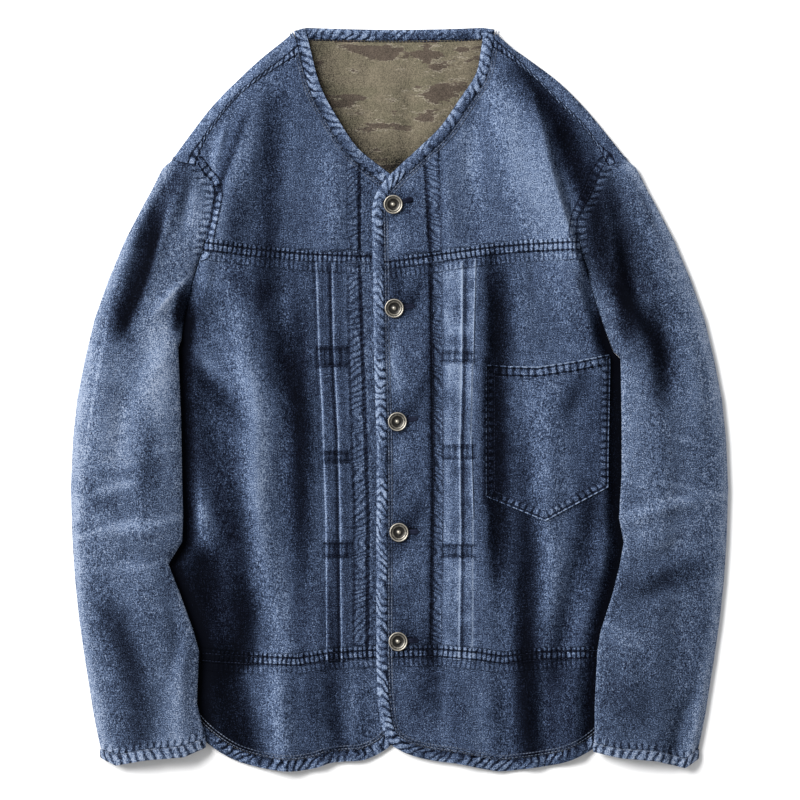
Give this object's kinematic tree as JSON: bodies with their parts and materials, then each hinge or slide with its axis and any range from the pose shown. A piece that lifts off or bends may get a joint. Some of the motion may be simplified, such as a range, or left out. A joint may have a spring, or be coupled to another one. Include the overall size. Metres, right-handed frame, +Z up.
{
  "type": "collarless denim jacket",
  "caption": "Collarless denim jacket laid flat on its back: bound edges, front and back yokes, hem band, tucks, patch pocket, printed lining and metal buttons.",
  "frame": {"origin": "on the flat underside of the back, halfway between the outer folds of the sleeves and halfway from hem to neck", "axes": "+X to the right across the garment seen from above, +Y from the hem to the neck, +Z up from the surface it lies on, out of the fronts"},
  "size_m": [0.624, 0.7057, 0.0251],
  "materials": {
    "denim": "matt washed twill",
    "lining": "matt printed cotton",
    "metal": "aged dull metal"
  },
  "bodies": {
    "root": {"front_yoke_left": "denim", "front_body_left": "denim", "front_hem_left": "denim", "binding_front_left": "denim", "sleeve_left": "denim", "cuff_left": "denim", "front_yoke_right": "denim", "front_body_right": "denim", "front_hem_right": "denim", "binding_front_right": "denim", "sleeve_right": "denim", "cuff_right": "denim", "back_yoke": "denim", "back_body": "denim", "back_hem": "denim", "binding_back": "denim", "binding_neck": "denim", "back_lining": "lining", "pocket": "denim", "button_1": "metal", "button_2": "metal", "button_3": "metal", "button_4": "metal", "button_5": "metal"}
  },
  "joints": []
}
